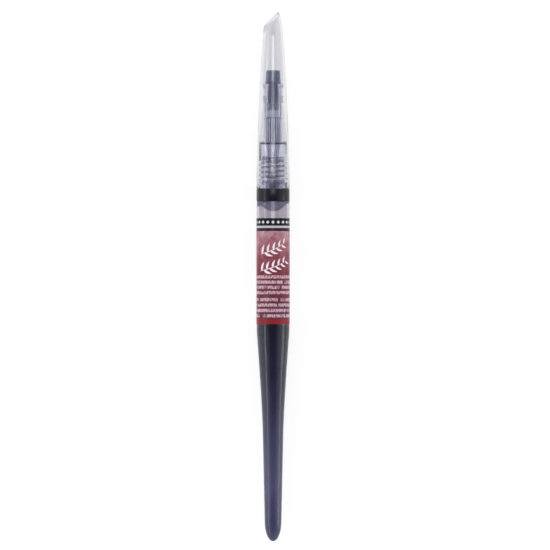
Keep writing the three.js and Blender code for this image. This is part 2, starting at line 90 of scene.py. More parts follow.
BARREL_RADIUS = reach("barrel")
BARREL_WALL = 0.8
HANDLE_LENGTH = 75.5
TAIL_WALL = 0.8
ROOF_WALL = 0.35
WAIST_STATION = 35
WAIST_RADIUS = 3.66
TAIL_RADIUS = 3.05
TAIL_ROUND = 7
HANDLE_FLARE = {"first": 14, "rise": 0.24, "last": 9.5, "drop": 0.65}

SKIRT_BORE = 4.55
THREAD_PITCH = 1.75
NECK_CORE = 3.95
NECK_BORE = 2.9
NECK_RISE = 5.4
NECK_DROP = 1.1


# ---------------------------------------------------------------- shapes


def filleted(points):
    """An outline's points, with each (station, radius, fillet) corner rounded and the others sharp."""
    outline = []
    for i, point in enumerate(points):
        corner = Vector(point[:2])
        if len(point) < 3:
            outline.append(corner)
            continue
        before = Vector(points[i - 1][:2]) - corner
        after = Vector(points[(i + 1) % len(points)][:2]) - corner
        reach_back = min(point[2], before.length * FILLET_SHARE)
        reach_on = min(point[2], after.length * FILLET_SHARE)
        start = corner + before.normalized() * reach_back
        end = corner + after.normalized() * reach_on
        arc = interpolate_bezier(
            start, start.lerp(corner, FILLET_PULL), end.lerp(corner, FILLET_PULL), end, FILLET_STEPS + 1,
        )
        outline.extend(Vector(p[:2]) for p in arc)
    return outline


def curve(start, pull, push, end):
    """Points of a smooth curve between two outline points."""
    corners = map(Vector, (start, pull, push, end))
    return [tuple(p[:2]) for p in interpolate_bezier(*corners, CURVE_STEPS)]


def quarter(start, end):
    """Points of a quarter ellipse that leaves start square to the axis and meets end along it."""
    length, height = end[0] - start[0], end[1] - start[1]
    turns = [i / CURVE_STEPS * math.pi / 2 for i in range(CURVE_STEPS + 1)]
    return [(start[0] + length * (1 - math.cos(a)), start[1] + height * math.sin(a)) for a in turns]


def spun(points, closed=False, steps=ROUND_STEPS):
    """A bmesh of an outline turned about the pen's axis."""
    bm = bmesh.new()
    ring = [bm.verts.new((p[0] * MM, 0, AXIS + p[1] * MM * FLAT)) for p in filleted(points)]
    for a, b in zip(ring, ring[1:]):
        bm.edges.new((a, b))
    if closed:
        bm.edges.new((ring[-1], ring[0]))
    bmesh.ops.spin(
        bm, geom=bm.verts[:] + bm.edges[:], cent=(0, 0, AXIS), axis=(1, 0, 0),
        angle=2 * math.pi, steps=steps, use_merge=True,
    )
    bmesh.ops.remove_doubles(bm, verts=bm.verts, dist=MERGE_DISTANCE)
    bmesh.ops.dissolve_degenerate(bm, dist=MERGE_DISTANCE, edges=bm.edges)
    bmesh.ops.recalc_face_normals(bm, faces=bm.faces)
    return bm


RIDGE_FILLET = 0.12
RIDGE_SUNK = 0.12  # how deep a ridge's foot is buried in its wall
RIDGE_END = 0.08  # of a ridge's height, at its two ends


def thread_ridge(radius, first, last, height, foot, crest, sunk=RIDGE_SUNK):
    """A bmesh of a helical ridge. A negative height points at the axis."""
    bm = bmesh.new()
    side = math.copysign(1, height)
    profile = [
        (first - foot / 2, radius - side * sunk),
        (first - crest / 2, radius + height, RIDGE_FILLET),
        (first + crest / 2, radius + height, RIDGE_FILLET),
        (first + foot / 2, radius - side * sunk),
    ]
    corners = [bm.verts.new((x * MM, 0, AXIS + r * MM * FLAT)) for x, r in filleted(profile)]
    start = bm.faces.new(corners)
    turns = (last - first) / THREAD_PITCH
    count = round(turns * THREAD_STEPS)
    bmesh.ops.spin(
        bm, geom=[start, *start.edges, *start.verts], cent=(0, 0, AXIS), axis=(1, 0, 0),
        dvec=(THREAD_PITCH * MM * turns / count, 0, 0), angle=turns * 2 * math.pi, steps=count,
    )
    fade_out(bm, radius - side * sunk, first, last)
    bmesh.ops.recalc_face_normals(bm, faces=bm.faces)
    return bm


def fade_out(bm, root, first, last):
    """Sinks a ridge's ends into its wall, each over half a turn."""
    for vert in bm.verts:
        x = vert.co.x / MM
        from_end = min(x - first, last - x) / THREAD_PITCH * 2
        height = min(1, max(0, from_end))
        away = Vector((vert.co.y, vert.co.z - AXIS))
        base = root * MM * FLAT
        kept = away.normalized() * (base + (away.length - base) * (RIDGE_END + (1 - RIDGE_END) * height))
        vert.co.y, vert.co.z = kept.x, AXIS + kept.y


def mesh_object(name, bm):
    """An object of a bmesh, smooth but for its sharp edges and its flat ends."""
    for face in bm.faces:
        face.smooth = len(face.verts) <= 4
    mesh = bpy.data.meshes.new(name)
    bm.to_mesh(mesh)
    bm.free()
    mesh.set_sharp_from_angle(angle=SHARP_ANGLE)
    made = bpy.data.objects.new(name, mesh)
    bpy.context.scene.collection.objects.link(made)
    return made


def united(first, second):
    """The first object joined with the second, which is used up."""
    modifier = first.modifiers.new("Join", "BOOLEAN")
    modifier.operation = "UNION"
    modifier.solver = "EXACT"
    modifier.object = second
    bpy.context.view_layer.update()
    whole = first.evaluated_get(bpy.context.evaluated_depsgraph_get())
    mesh = bpy.data.meshes.new_from_object(whole)
    first.modifiers.clear()
    first.data = mesh
    mesh.set_sharp_from_angle(angle=SHARP_ANGLE)
    bpy.data.objects.remove(second)
    return first


def fitted(piece, body, slot, material, *nodes):
    """Gives a piece its material and its body, and hides the frame nodes that it stands for. slot is not
    used.
    """
    piece.data.materials.clear()
    piece.data.materials.append(material)
    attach(piece, body)
    if nodes:
        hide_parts(*nodes)
    return piece


# ---------------------------------------------------------------- materials


class Recipe:
    """A material under construction: its shader, and short calls that add nodes to it."""

    def __init__(self, name, **sockets):
        self.material = bpy.data.materials.new(name)
        self.material.use_nodes = True
        self.tree = self.material.node_tree
        self.shader = self.tree.nodes["Principled BSDF"]
        for socket, value in sockets.items():
            self.shader.inputs[socket.replace("_", " ")].default_value = value
        place = self.tree.nodes.new("ShaderNodeTexCoord").outputs["Object"]
        centred = self.tree.nodes.new("ShaderNodeMapping")
        centred.vector_type = "POINT"
        centred.inputs["Location"].default_value = (0, 0, -AXIS / MM)
        centred.inputs["Scale"].default_value = (1 / MM,) * 3
        self.link(place, centred.inputs["Vector"])
        self.place = centred.outputs["Vector"]  # in millimetres from the middle of the pen's axis

    def link(self, value, socket):
        if isinstance(value, bpy.types.NodeSocket):
            self.tree.links.new(value, socket)
        else:
            socket.default_value = value

    def set(self, socket, value):
        self.link(value, self.shader.inputs[socket])

    def math(self, operation, first, second=0.0, third=0.0, clamp=False):
        node = self.tree.nodes.new("ShaderNodeMath")
        node.operation = operation
        node.use_clamp = clamp
        for value, socket in zip((first, second, third), node.inputs):
            self.link(value, socket)
        return node.outputs[0]

    def axes(self):
        """Where a point is along the pen, across it and above its axis."""
        node = self.tree.nodes.new("ShaderNodeSeparateXYZ")
        self.link(self.place, node.inputs[0])
        return node.outputs[0], node.outputs[1], node.outputs[2]

    def vector(self, x, y, z):
        node = self.tree.nodes.new("ShaderNodeCombineXYZ")
        for value, socket in zip((x, y, z), node.inputs):
            self.link(value, socket)
        return node.outputs[0]

    def stretched(self, scale):
        node = self.tree.nodes.new("ShaderNodeMapping")
        node.inputs["Scale"].default_value = scale
        self.link(self.place, node.inputs["Vector"])
        return node.outputs["Vector"]

    def noise(self, scale, detail=3.0, vector=None, roughness=0.5, distortion=0.0):
        node = self.tree.nodes.new("ShaderNodeTexNoise")
        node.inputs["Scale"].default_value = scale
        node.inputs["Detail"].default_value = detail
        node.inputs["Roughness"].default_value = roughness
        node.inputs["Distortion"].default_value = distortion
        self.link(vector or self.place, node.inputs["Vector"])
        return node.outputs["Fac"]

    def band(self, value, low, high, soft=0.02):
        """1 where low < value < high, with soft edges."""
        rise = self.math("MULTIPLY_ADD", value, 1 / soft, 0.5 - low / soft, clamp=True)
        fall = self.math("MULTIPLY_ADD", value, -1 / soft, 0.5 + high / soft, clamp=True)
        return self.math("MULTIPLY", rise, fall)

    def ramp(self, value, *stops):
        node = self.tree.nodes.new("ShaderNodeValToRGB")
        ramp = node.color_ramp
        while len(ramp.elements) < len(stops):
            ramp.elements.new(1.0)
        for element, (place, colour) in zip(ramp.elements, stops):
            element.position = place
            element.color = (*colour, 1.0) if isinstance(colour, tuple) else (colour,) * 3 + (1.0,)
        self.link(value, node.inputs[0])
        return node.outputs[0]

    def mix(self, share, first, second):
        node = self.tree.nodes.new("ShaderNodeMix")
        node.data_type = "RGBA"
        colour = [s for s in node.inputs if s.type == "RGBA"]
        self.link(share, node.inputs[0])
        for value, socket in zip((first, second), colour):
            self.link((*value, 1.0) if isinstance(value, tuple) else value, socket)
        return next(s for s in node.outputs if s.type == "RGBA")

    def facing(self, blend):
        """0 where the surface faces the viewer, and 1 at its outline."""
        node = self.tree.nodes.new("ShaderNodeLayerWeight")
        node.inputs["Blend"].default_value = blend
        return node.outputs["Facing"]

    def bump(self, height, depth):
        """Bumps of the given depth in millimetres."""
        node = self.tree.nodes.new("ShaderNodeBump")
        node.inputs["Strength"].default_value = 1.0
        node.inputs["Distance"].default_value = depth * MM
        self.link(height, node.inputs["Height"])
        self.set("Normal", node.outputs["Normal"])


def see_through(recipe, tint):
    """Lets lamps shine through clear plastic, onto what is behind it."""
    nodes = recipe.tree.nodes
    straight = nodes.new("ShaderNodeBsdfTransparent")
    straight.inputs["Color"].default_value = (*tint, 1.0)
    either = nodes.new("ShaderNodeMixShader")
    recipe.link(nodes.new("ShaderNodeLightPath").outputs["Is Shadow Ray"], either.inputs["Fac"])
    recipe.link(recipe.shader.outputs["BSDF"], either.inputs[1])
    recipe.link(straight.outputs["BSDF"], either.inputs[2])
    recipe.link(either.outputs["Shader"], nodes["Material Output"].inputs["Surface"])
    return recipe.material


def srgb(red, green, blue):
    """A linear colour from the usual 0 to 255 values."""
    def linear(value):
        value /= 255
        return value / 12.92 if value <= 0.04045 else ((value + 0.055) / 1.055) ** 2.4
    return tuple(linear(value) for value in (red, green, blue))


HAZE = 0.03  # the most roughness of a polished wall
MATT = 0.3  # the roughness that the cap's slanted end adds
MATT_DEPTH = 2.4  # of that end, along the pen


def clear_plastic(name, face, edge, slant=None):
    """Polished moulded plastic, greyer seen through its length, and matt near a slanted end."""
    recipe = Recipe(name, Transmission_Weight=1.0, IOR=1.49)
    recipe.set("Base Color", recipe.mix(recipe.facing(0.35), face, edge))
    flow = recipe.noise(0.5, 4, recipe.stretched((0.25, 1, 1)))
    polish = recipe.math("MULTIPLY_ADD", flow, HAZE, HAZE * 0.4)
    if slant is not None:
        along, across = recipe.axes()[:2]
        past = recipe.math("ADD", along, recipe.math("SUBTRACT", across, slant))  # 0 on the slanted face
        near_end = recipe.band(past, -MATT_DEPTH, MATT_DEPTH, 1.0)
        polish = recipe.math("MULTIPLY_ADD", near_end, MATT, polish)
    recipe.set("Roughness", polish)
    recipe.bump(recipe.noise(0.35, 2, recipe.stretched((0.3, 1, 1))), 0.03)
    return see_through(recipe, face)


def sleeve_plastic():
    """Clear plastic that the brush has wiped with ink."""
    recipe = Recipe("sleeve_plastic", Transmission_Weight=1.0, IOR=1.49)
    wiped = recipe.noise(1.5, 5, recipe.stretched((0.2, 1, 1)), distortion=0.4)
    stain = recipe.ramp(
        wiped, (0.32, srgb(158, 162, 192)), (0.5, srgb(202, 205, 227)), (0.7, srgb(234, 235, 245)),
    )
    bore = recipe.band(recipe.axes()[0], MOUTH + 0.2, SEAL_LOW, 0.8)
    recipe.set("Base Color", recipe.mix(bore, srgb(246, 247, 252), stain))
    recipe.set("Roughness", recipe.math("MULTIPLY_ADD", wiped, 0.12, 0.02))
    recipe.bump(wiped, 0.02)
    return see_through(recipe, srgb(236, 238, 248))


def barrel_plastic():
    """Soft clear plastic, a little milky, blued by ink round the neck."""
    recipe = Recipe(
        "barrel_plastic", Transmission_Weight=1.0, IOR=1.5, Sheen_Weight=0.07, Sheen_Roughness=0.45,
        Sheen_Tint=(0.82, 0.82, 1.0, 1.0),
    )
    along, _, up = recipe.axes()
    mottle = recipe.noise(0.8, 4, recipe.stretched((0.4, 1, 1)))
    blued = recipe.band(along, SHOULDER - 1.2, NECK_TOP + 1, 1.0)
    stain = recipe.math("MULTIPLY", blued, recipe.ramp(mottle, (0.25, 0.5), (0.7, 1.0)))
    plain = recipe.ramp(mottle, (0.2, srgb(192, 186, 194)), (0.8, srgb(212, 207, 214)))
    recipe.set("Base Color", recipe.mix(stain, plain, srgb(196, 198, 226)))
    recipe.set("Roughness", recipe.ramp(recipe.noise(0.9, 3), (0.3, 0.04), (0.8, 0.09)))
    parting = recipe.band(recipe.math("ABSOLUTE", up), -1.0, 0.05, 0.04)
    recipe.bump(recipe.math("MULTIPLY_ADD", parting, 0.6, recipe.noise(0.25, 2)), 0.02)
    return see_through(recipe, srgb(232, 232, 240))


def ink_liquid():
    """Dark ink behind the handle's wall, which shows paler where the handle is slim."""
    recipe = Recipe("ink_liquid", Roughness=0.2, IOR=1.12)
    along = recipe.axes()[0]
    slim = recipe.math("MULTIPLY_ADD", along, -1 / HANDLE_LENGTH, (TAIL + HANDLE_LENGTH) / HANDLE_LENGTH)
    swirl = recipe.noise(0.18, 3, recipe.stretched((0.5, 1, 1)), distortion=0.6)
    depth = recipe.math("MULTIPLY_ADD", swirl, 0.22, recipe.math("ADD", slim, -0.11))
    recipe.set("Base Color", recipe.ramp(
        depth, (0.0, srgb(22, 20, 50)), (0.25, srgb(42, 42, 76)), (0.5, srgb(84, 84, 118)),
        (0.75, srgb(104, 104, 142)), (1.0, srgb(70, 70, 110)),
    ))
    recipe.bump(recipe.noise(0.4, 2), 0.02)
    return recipe.material


# first and last millimetre from the label's top, and colour
LABEL_BANDS = (
    (-1, 2.72, (20, 18, 24)),
    (2.72, 3.5, (190, 186, 192)),
    (3.5, 4.62, (48, 26, 38)),
    (36.1, 40, (140, 38, 46)),
)
DIAMOND_PITCH = 1.9
DIAMOND_SIZE = 0.62
DIAMOND_LINE = 1.42  # from the label's top
PRINT_BLOCKS = ((21.0, 1.87, 4, 0.0), (29.15, 1.93, 4, 7.3))  # first line, spacing, lines, seed
PRINT_HEIGHT = 1.1


def label_print():
    """Film printed with bands, a watercolour wash, a row of diamonds and blocks of dummy print."""
    recipe = Recipe("label_print", IOR=1.5, Specular_IOR_Level=0.14)
    along, across, up = recipe.axes()
    turn = recipe.math("ARCTAN2", across, up)
    right = recipe.math("MULTIPLY", turn, -BARREL_RADIUS)  # millimetres round the label from its front
    down = recipe.math("SUBTRACT", LABEL_HIGH, along)  # millimetres from the label's top
    sheet = recipe.vector(right, down, 0.0)
    colour = label_wash(recipe, sheet, down)
    colour = recipe.mix(dummy_print(recipe, right, down), colour, srgb(214, 184, 198))
    for low, high, shade in LABEL_BANDS:
        colour = recipe.mix(recipe.band(down, low, high, 0.08), colour, srgb(*shade))
    colour = recipe.mix(diamond_row(recipe, right, down), colour, srgb(214, 212, 218))
    recipe.set("Base Color", colour)
    grain = recipe.noise(9, 4)
    recipe.set("Roughness", recipe.math("MULTIPLY_ADD", grain, 0.12, 0.2))
    recipe.bump(grain, 0.006)
    return recipe.material


def label_wash(recipe, sheet, down):
    """Watercolour that runs down from pale pink, through a red patch, into brown."""
    cloud = recipe.noise(0.16, 5, sheet, roughness=0.6, distortion=0.8)
    share = recipe.math("MULTIPLY_ADD", down, 1 / 34, recipe.math("MULTIPLY_ADD", cloud, 0.8, -0.45))
    wash = recipe.ramp(
        share, (0.0, srgb(190, 158, 164)), (0.2, srgb(162, 108, 116)), (0.36, srgb(136, 70, 80)),
        (0.58, srgb(106, 42, 50)), (1.0, srgb(84, 44, 52)),
    )
    bloom = recipe.ramp(recipe.noise(0.5, 6, sheet, roughness=0.7), (0.42, 0.0), (0.72, 0.55))
    stained = recipe.mix(bloom, wash, srgb(146, 48, 60))
    grey = recipe.ramp(recipe.noise(0.24, 4, sheet), (0.5, 0.0), (0.66, 0.5))
    return recipe.mix(grey, stained, srgb(112, 76, 84))


def dummy_print(recipe, right, down):
    """Where lines of print would be: blocks the size of words, with no letters in them."""
    masks = []
    for first, pitch, lines, seed in PRINT_BLOCKS:
        row = recipe.math("MULTIPLY_ADD", down, 1 / pitch, 0.5 - first / pitch)
        number = recipe.math("FLOOR", row)
        offset = recipe.math("ABSOLUTE", recipe.math("SUBTRACT", recipe.math("FRACT", row), 0.5))
        line = recipe.band(recipe.math("MULTIPLY", offset, pitch), -1, PRINT_HEIGHT / 2, 0.25)
        block = recipe.band(number, -0.5, lines - 0.5)
        place = recipe.vector(
            recipe.math("MULTIPLY", right, 0.6), recipe.math("MULTIPLY_ADD", number, 3.7, seed), seed,
        )
        words = recipe.ramp(recipe.noise(1.0, 1, place), (0.33, 0.0), (0.38, 1.0))
        strokes = recipe.vector(
            recipe.math("MULTIPLY", right, 3.2), recipe.math("MULTIPLY", down, 0.9),
            recipe.math("MULTIPLY_ADD", number, 1.7, seed),
        )
        texture = recipe.ramp(recipe.noise(1.0, 1, strokes), (0.38, 0.1), (0.52, 1.0))
        mask = recipe.math("MULTIPLY", recipe.math("MULTIPLY", line, block), words)
        masks.append(recipe.math("MULTIPLY", mask, texture))
    return recipe.math("MULTIPLY", recipe.math("ADD", *masks, clamp=True), 0.85)


def diamond_row(recipe, right, down):
    share = recipe.math("FRACT", recipe.math("MULTIPLY_ADD", right, 1 / DIAMOND_PITCH, 0.5))
    across = recipe.math("MULTIPLY", recipe.math("SUBTRACT", share, 0.5), DIAMOND_PITCH)
    away = recipe.math("ABSOLUTE", recipe.math("SUBTRACT", down, DIAMOND_LINE))
    distance = recipe.math("ADD", recipe.math("ABSOLUTE", across), away)
    return recipe.band(distance, -1, DIAMOND_SIZE, 0.1)


def moulded_plastic(name, dark, light, roughness, depth=0.01, **sockets):
    """Opaque plastic with faint mottling and a fine moulded grain."""
    recipe = Recipe(name, **sockets)
    recipe.set("Base Color", recipe.ramp(recipe.noise(1.2, 4), (0.3, dark), (0.75, light)))
    grain = recipe.noise(12, 3)
    recipe.set("Roughness", recipe.math("MULTIPLY_ADD", grain, 0.16, roughness - 0.08))
    recipe.bump(grain, depth)
    return recipe.material


def inked_plastic():
    """The feed: pale plastic with ink drawn along it in fine streaks."""
    recipe = Recipe("inked_plastic", Roughness=0.25, IOR=1.2)
    across, up = recipe.axes()[1:]
    turn = recipe.math("MULTIPLY", recipe.math("ARCTAN2", across, up), FLUTES)
    veins = recipe.math("MULTIPLY", recipe.math("COSINE", turn), -0.16)
    streaks = recipe.noise(1.4, 4, recipe.stretched((0.12, 1, 1)))
    tone = recipe.math("ADD", streaks, veins)
    recipe.set("Base Color", recipe.ramp(
        tone, (0.26, srgb(138, 142, 190)), (0.48, srgb(208, 212, 236)), (0.7, srgb(250, 251, 255)),
    ))
    recipe.bump(streaks, 0.03)
    return recipe.material


def ink_stain(name, thin, thick, clearness):
    """A film or drop of ink, thicker in patches."""
    recipe = Recipe(name, Roughness=0.15, IOR=1.34, Transmission_Weight=clearness)
    pools = recipe.noise(0.9, 4, recipe.stretched((0.5, 1, 1)), distortion=0.7)
    recipe.set("Base Color", recipe.ramp(pools, (0.3, thin), (0.7, thick)))
    recipe.bump(pools, 0.02)
    return recipe.material


def wick_fibre():
    recipe = Recipe("wick_fibre", Roughness=0.9)
    fibres = recipe.noise(2.2, 5, recipe.stretched((0.2, 1, 1)))
    pores = recipe.noise(7, 4)
    tone = recipe.math("MULTIPLY_ADD", pores, 0.5, recipe.math("MULTIPLY", fibres, 0.6))
    recipe.set("Base Color", recipe.ramp(
        tone, (0.3, srgb(232, 235, 244)), (0.5, srgb(252, 252, 254)), (0.75, srgb(255, 255, 255)),
    ))
    recipe.bump(tone, 0.12)
    return recipe.material


def bristle_fibre():
    """Nylon bristles wet with ink, palest past their middle and darker at their points."""
    recipe = Recipe("bristle_fibre", Roughness=0.38, IOR=1.45, Sheen_Weight=0.2)
    along = recipe.axes()[0]
    low, high = span("bristle_tuft")
    share = recipe.math("MULTIPLY_ADD", along, 1 / (high - low), -low / (high - low))
    mottle = recipe.math("MULTIPLY_ADD", recipe.noise(3, 3), 0.3, recipe.math("ADD", share, -0.15))
    recipe.set("Base Color", recipe.ramp(
        mottle, (0.0, srgb(118, 123, 168)), (0.6, srgb(160, 166, 208)), (1.0, srgb(96, 100, 144)),
    ))
    return recipe.material


def floor_panel():
    """A pale table that is lit from below."""
    recipe = Recipe("floor_panel", Roughness=0.75, Emission_Strength=0.8, Emission_Color=(1, 1, 1, 1))
    recipe.set("Base Color", recipe.ramp(recipe.noise(0.05, 3), (0.3, (0.24,) * 3), (0.7, (0.26,) * 3)))
    return recipe.material


SLANT_DROP = 1.7  # from the cap's tip back to where the slanted end crosses the axis
CLEAR = clear_plastic(
    "cap_plastic", srgb(229, 229, 231), srgb(232, 232, 234), slant=span("cap_shell")[1] - SLANT_DROP,
)
CLEAR_THIN = clear_plastic("head_plastic", srgb(245, 246, 252), srgb(232, 234, 246))


# ---------------------------------------------------------------- barrel, label and ink


def handle_outline(inset, floor):
    """The handle from the middle of its closed end to the start of the cylinder."""
    waist = (TAIL + WAIST_STATION, WAIST_RADIUS - inset)
    end = (TAIL + HANDLE_LENGTH, BARREL_RADIUS - inset)
    round_end = quarter((TAIL + floor, 0), (TAIL + TAIL_ROUND, TAIL_RADIUS - inset))
    flare = curve(
        waist,
        (waist[0] + HANDLE_FLARE["first"], waist[1] + HANDLE_FLARE["rise"]),
        (end[0] - HANDLE_FLARE["last"], end[1] - HANDLE_FLARE["drop"]),
        end,
    )
    return [*round_end, *flare]


def barrel():
    roof = SHOULDER - ROOF_WALL
    body = spun([
        *handle_outline(0, 0),
        (SHOULDER, BARREL_RADIUS, 0.18),
        (SHOULDER, NECK_CORE, 0.12),
        (NECK_TOP, NECK_CORE, 0.3),
        (NECK_TOP, NECK_BORE, 0.12),
        (roof, NECK_BORE, 0.3),
        (roof, BARREL_RADIUS - BARREL_WALL, 0.6),
        *reversed(handle_outline(BARREL_WALL, TAIL_WALL)),
    ])
    ridge = thread_ridge(
        NECK_CORE, SHOULDER + NECK_RISE, NECK_TOP - NECK_DROP, height=0.45, foot=0.95, crest=0.35,
    )
    whole = united(mesh_object("barrel_shell", body), mesh_object("ridge", ridge))
    return fitted(whole, "barrel", "barrel_plastic", barrel_plastic(), "barrel")


def ink():
    inset = BARREL_WALL - WET
    level = BARREL_RADIUS - inset
    body = spun([
        *handle_outline(inset, TAIL_WALL - WET),
        (INK_HIGH + 0.35, level),
        (INK_HIGH, level - 0.5, 0.4),
        (INK_HIGH - 0.1, 0),
    ])
    return fitted(mesh_object("ink_fill", body), "barrel", "ink", ink_liquid(), "ink_charge")


LENS_RINGS = 12
LENS_DEPTH = {"edge": 0.4, "middle": 2.9, "side": 1.3}


def roof_ink():
    """Ink that clings under the barrel's shoulder in a lens, deeper on one side."""
    roof = SHOULDER - ROOF_WALL
    radius = BARREL_RADIUS - BARREL_WALL + WET
    low = roof - 1
    bm = spun([
        *[(low, radius * i / LENS_RINGS) for i in range(LENS_RINGS)],
        (low, radius, 0.05),
        (roof, radius),
        (roof, NECK_BORE + 0.1),
        (roof - 0.3, NECK_BORE),
        (roof - 0.3, 0),
    ])
    for vert in bm.verts:
        if vert.co.x / MM < (low + roof) / 2:
            side = vert.co.y / MM / radius
            middle = max(0, 1 - (side * 1.15 + 0.05) ** 2)
            bulge = LENS_DEPTH["middle"] * middle + LENS_DEPTH["side"] * max(0, side) ** 3
            vert.co.x = (roof - LENS_DEPTH["edge"] - bulge) * MM
    bmesh.ops.recalc_face_normals(bm, faces=bm.faces)
    film = ink_stain("ink_lens", srgb(160, 152, 182), srgb(120, 112, 150), 0.4)
    return fitted(mesh_object("ink_residue", bm), "barrel", "ink", film)


def thread_ink():
    """Ink that has crept along the valley of the neck's thread."""
    low, high = SHOULDER + NECK_RISE + THREAD_PITCH * 0.7, NECK_TOP - NECK_DROP * 0.4
    ribbon = thread_ridge(NECK_CORE, low, high, height=0.06, foot=0.7, crest=0.6, sunk=0.05)
    film = ink_stain("thread_film", srgb(110, 114, 158), srgb(72, 75, 116), 0.0)
    return fitted(mesh_object("neck_film", ribbon), "barrel", "ink", film)


STOPPER_WALL = 0.6
STOPPER_DRAFT = 0.1
STOPPER_GROOVE = {"rise": 1.0, "slope": 0.15, "width": 0.25, "depth": 0.08}
STOPPER_DIMPLE = {"radius": 0.9, "slope": 0.2, "depth": 0.15}


def stopper():
    """A hollow plug with a groove round it and a dimple in its closed end."""
    low, high = span("neck_stopper")
    radius = reach("neck_stopper")
    rise, slope, width, depth = STOPPER_GROOVE.values()
    start = low + rise
    end = start + 2 * slope + width
    dimple = STOPPER_DIMPLE["radius"]
    dimple_floor = high - STOPPER_DIMPLE["depth"]
    body = spun([
        (high - STOPPER_WALL, 0),
        (high - STOPPER_WALL, radius - STOPPER_WALL - STOPPER_DRAFT, 0.15),
        (low, radius - STOPPER_WALL, 0.12),
        (low, radius, 0.2),
        (start, radius),
        (start + slope, radius - depth),
        (end - slope, radius - depth),
        (end, radius),
        (high, radius, 0.25),
        (high, dimple),
        (dimple_floor, dimple - STOPPER_DIMPLE["slope"]),
        (dimple_floor, 0),
    ])
    milk = moulded_plastic("stopper_plastic", srgb(196, 197, 204), srgb(220, 221, 226), 0.4)
    return fitted(mesh_object("stopper", body), "barrel", "stopper_plastic", milk, "neck_stopper")


PRINT_THICKNESS = 0.02
PRINT_SUNK = 0.01  # how deep a patch's foot is in the film
LABEL_GAP = 0.02
SEAM_ANGLE = math.radians(150)
SEAM_WIDTH = 1.6


def label():
    outer = reach("label") - PRINT_THICKNESS
    inner = BARREL_RADIUS + LABEL_GAP
    body = spun([
        (LABEL_LOW, outer, 0.02), (LABEL_HIGH, outer, 0.02), (LABEL_HIGH, inner), (LABEL_LOW, inner),
    ], closed=True)
    return fitted(mesh_object("label_film", body), "barrel", "label_film", label_print(), "label")


def wrap(right, down, lift):
    """A point this many millimetres right of the label's front line, down from its top, and off it."""
    radius = (reach("label") * FLAT - PRINT_THICKNESS + lift) * MM
    angle = right * MM / radius
    return Vector((
        (LABEL_HIGH - down) * MM, -radius * math.sin(angle), AXIS + radius * math.cos(angle),
    ))


def patch(bm, columns, rows, shape):
    """Adds a thin closed patch on the label. shape turns (0..1, -1..1) into (right, down)."""
    others = set(bm.faces)
    volume = bm.calc_volume(signed=True)
    flat = bmesh.ops.create_grid(bm, x_segments=columns, y_segments=rows, size=0.5)["verts"]
    places = {vert: shape(vert.co.x + 0.5, vert.co.y * 2) for vert in flat}
    faces = list({face for vert in flat for face in vert.link_faces})
    top = bmesh.ops.extrude_face_region(bm, geom=faces)["geom"]
    for vert in (item for item in top if isinstance(item, bmesh.types.BMVert)):
        vert.co = wrap(*shape(vert.co.x + 0.5, vert.co.y * 2), PRINT_THICKNESS)
    for vert, place in places.items():
        vert.co = wrap(*place, -PRINT_SUNK)
    made = [face for face in bm.faces if face not in others]
    bmesh.ops.recalc_face_normals(bm, faces=made)
    if bm.calc_volume(signed=True) < volume:  # a thin bent sheet can come out inside out
        bmesh.ops.reverse_faces(bm, faces=made)


def leaf(bm, root, length, lean, width, bend):
    """One tapered brush stroke. lean is its slope from straight up, in degrees."""
    way = Vector((math.sin(math.radians(lean)), -math.cos(math.radians(lean))))
    side = Vector((-way.y, way.x))

    def shape(share, edge):
        swell = math.sin(math.pi * share ** 0.7) ** 0.8
        ragged = 1 + 0.05 * math.sin(share * 12 + edge * 2 + root[0])
        across = edge * max(0.04, swell * ragged) * width / 2 + bend * math.sin(math.pi * share)
        place = Vector(root) + way * (share * length) + side * across
        return place.x, place.y

    patch(bm, 28, 4, shape)


# a sprig's foot (right, down), its stem's length and lean in degrees, and how many leaves it has
SPRIGS = (((-5.0, 13.0), 10.6, 66, 9), ((-5.4, 19.0), 11.6, 70, 10))
STEM_WIDTH = 0.26
LEAF_LENGTH = 3.5
LEAF_WIDTH = 0.95
LEAF_SPREAD = 44  # degrees that a leaf stands off its stem


def sprig(bm, foot, length, lean, count):
    """A stem with leaves on both sides, which shorten towards its tip."""
    leaf(bm, foot, length, lean, STEM_WIDTH, 0.5)
    way = Vector((math.sin(math.radians(lean)), -math.cos(math.radians(lean))))
    side = Vector((-way.y, way.x))
    for i in range(count):
        share = 0.08 + 0.86 * i / (count - 1)
        root = Vector(foot) + way * (share * length) + side * (0.5 * math.sin(math.pi * share))
        turn = LEAF_SPREAD if i % 2 else -LEAF_SPREAD - 8
        size = LEAF_LENGTH * (1 - 0.4 * share)
        leaf(bm, root, size, lean + turn, LEAF_WIDTH * (1 - 0.35 * share), 0.22 if i % 2 else -0.22)


def brushwork():
    """A spray of leaves in white brush strokes on the label's front."""
    bm = bmesh.new()
    for shape in SPRIGS:
        sprig(bm, *shape)
    recipe = Recipe("label_paint", Roughness=0.35, IOR=1.5)
    streaks = recipe.noise(2.4, 4, recipe.stretched((0.5, 1.6, 1)))
    recipe.set("Base Color", recipe.ramp(streaks, (0.25, srgb(222, 186, 196)), (0.5, srgb(244, 232, 236))))
    recipe.bump(streaks, 0.004)
    return fitted(mesh_object("label_brushwork", bm), "barrel", "label_film", recipe.material)


def label_seam():
    """The label's overlapping edge, at the back."""
    bm = bmesh.new()
    start = SEAM_ANGLE * BARREL_RADIUS
    length = LABEL_HIGH - LABEL_LOW

    def shape(share, edge):
        return start + edge * SEAM_WIDTH / 2, share * length

    patch(bm, 40, 4, shape)
    return fitted(mesh_object("label_seam", bm), "barrel", "label_film", label_print_seam())


def label_print_seam():
    material = bpy.data.materials["label_print"].copy()
    material.name = "label_print_seam"
    return material


# ---------------------------------------------------------------- spacer ring and brush head


